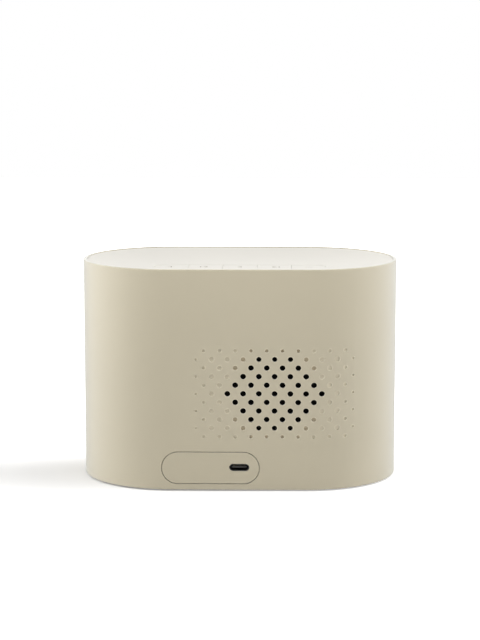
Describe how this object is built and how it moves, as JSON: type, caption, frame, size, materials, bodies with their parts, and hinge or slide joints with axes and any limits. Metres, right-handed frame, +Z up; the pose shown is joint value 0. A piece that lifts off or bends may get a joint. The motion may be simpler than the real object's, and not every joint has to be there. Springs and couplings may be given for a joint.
{
  "type": "white noise sound machine",
  "caption": "Round-ended upright sound machine with a dished top holding a key strip, a front push dial in a glow ring, and a rear loudspeaker grille above a USB-C inlet.",
  "frame": {"origin": "middle of the base pad's underside, on the surface it stands on", "axes": "+Z up, -Y towards the front dial, +Y towards the rear grille and inlet, +X along the length"},
  "size_m": [0.145, 0.0916, 0.101],
  "materials": {
    "shell_plastic": "fine spark texture, satin",
    "cover_plastic": "fine texture, satin",
    "base_plastic": "plain moulded",
    "pad_rubber": "matt silicone",
    "key_plastic": "satin",
    "dial_plastic": "satin",
    "dial_rubber": "ribbed, matt",
    "glow_diffuser": "milky light diffuser",
    "baffle_plastic": "white reflector",
    "screw_steel": "zinc plated",
    "circuit_board": "green solder mask",
    "chip_epoxy": "moulded epoxy",
    "capacitor_can": "bare can",
    "connector_nylon": "natural nylon",
    "led_resin": "clear and yellow resin",
    "switch_steel": "stamped",
    "plunger_plastic": "moulded",
    "usb_steel": "nickel plated",
    "tongue_plastic": "moulded",
    "cell_wrap": "shrink sleeve",
    "cradle_plastic": "plain moulded",
    "strap_nylon": "woven nylon",
    "lead_silicone": "insulation",
    "ribbon_film": "flat flex film",
    "basket_steel": "black coated pressing",
    "gasket_foam": "closed cell foam",
    "magnet_ferrite": "sintered",
    "magnet_steel": "zinc plated",
    "coil_copper": "coil on an aluminium former",
    "cone_paper": "pressed pulp",
    "surround_rubber": "moulded roll",
    "spider_cloth": "corrugated cotton",
    "encoder_zinc": "cast and plated",
    "shaft_alloy": "turned"
  },
  "bodies": {
    "housing": {"body_shell": "shell_plastic", "io_plate": "shell_plastic", "top_cover": "cover_plastic", "base_cover": "base_plastic", "base_pad": "pad_rubber", "cover_screws": "screw_steel", "base_screws": "screw_steel", "key_switches": "switch_steel", "key_board": "circuit_board", "key_board_screws": "screw_steel", "glow_disc": "glow_diffuser", "light_baffle": "baffle_plastic", "dial_board": "circuit_board", "dial_board_screws": "screw_steel", "encoder_body": "encoder_zinc", "encoder_washer": "screw_steel", "encoder_nut": "screw_steel", "night_light_leds": "led_resin", "main_board": "circuit_board", "main_board_screws": "screw_steel", "usb_c_shell": "usb_steel", "usb_c_tongue": "tongue_plastic", "board_chips": "chip_epoxy", "board_capacitors": "capacitor_can", "board_connectors": "connector_nylon", "battery_cell": "cell_wrap", "battery_protection_board": "circuit_board", "battery_cradle": "cradle_plastic", "cradle_screws": "screw_steel", "battery_straps": "strap_nylon", "battery_leads": "lead_silicone", "speaker_basket": "basket_steel", "speaker_gasket": "gasket_foam", "speaker_magnet": "magnet_ferrite", "speaker_top_plate": "magnet_steel", "speaker_yoke": "magnet_steel", "speaker_surround": "surround_rubber", "speaker_spider": "spider_cloth", "speaker_terminals": "circuit_board", "speaker_screws": "screw_steel", "speaker_leads": "lead_silicone", "key_ribbon": "ribbon_film", "dial_ribbon": "ribbon_film"},
    "volume_down_key": {"volume_down_key": "key_plastic", "volume_down_plunger": "plunger_plastic"},
    "previous_key": {"previous_key": "key_plastic", "previous_plunger": "plunger_plastic"},
    "play_key": {"play_key": "key_plastic", "play_plunger": "plunger_plastic"},
    "next_key": {"next_key": "key_plastic", "next_plunger": "plunger_plastic"},
    "volume_up_key": {"volume_up_key": "key_plastic", "volume_up_plunger": "plunger_plastic"},
    "dial_push": {"encoder_plunger": "plunger_plastic"},
    "dial": {"encoder_shaft": "shaft_alloy", "dial_cap": "dial_plastic", "dial_grip": "dial_rubber"},
    "cone": {"speaker_cone": "cone_paper", "dust_cap": "cone_paper", "voice_coil": "coil_copper"}
  },
  "joints": [
    {"name": "volume_down_press", "type": "slide", "parent": "housing", "child": "volume_down_key", "axis": [0, 0, -1], "range_m": [0, 0.0006], "stiffness_N_per_m": 2500, "springref_m": -0.0003},
    {"name": "previous_press", "type": "slide", "parent": "housing", "child": "previous_key", "axis": [0, 0, -1], "range_m": [0, 0.0006], "stiffness_N_per_m": 2500, "springref_m": -0.0003},
    {"name": "play_press", "type": "slide", "parent": "housing", "child": "play_key", "axis": [0, 0, -1], "range_m": [0, 0.0006], "stiffness_N_per_m": 2500, "springref_m": -0.0003},
    {"name": "next_press", "type": "slide", "parent": "housing", "child": "next_key", "axis": [0, 0, -1], "range_m": [0, 0.0006], "stiffness_N_per_m": 2500, "springref_m": -0.0003},
    {"name": "volume_up_press", "type": "slide", "parent": "housing", "child": "volume_up_key", "axis": [0, 0, -1], "range_m": [0, 0.0006], "stiffness_N_per_m": 2500, "springref_m": -0.0003},
    {"name": "dial_press", "type": "slide", "parent": "housing", "child": "dial_push", "axis": [0, 1, 0], "range_m": [0, 0.0005], "stiffness_N_per_m": 4000, "springref_m": -0.0003},
    {"name": "dial_turn", "type": "hinge", "parent": "dial_push", "child": "dial", "pos_m": [0, 0, 0.052], "axis": [0, -1, 0], "continuous": true},
    {"name": "cone_travel", "type": "slide", "parent": "housing", "child": "cone", "axis": [0, 1, 0], "range_m": [-0.001, 0.001], "stiffness_N_per_m": 1500, "deforming": ["speaker_surround", "speaker_spider"]}
  ]
}
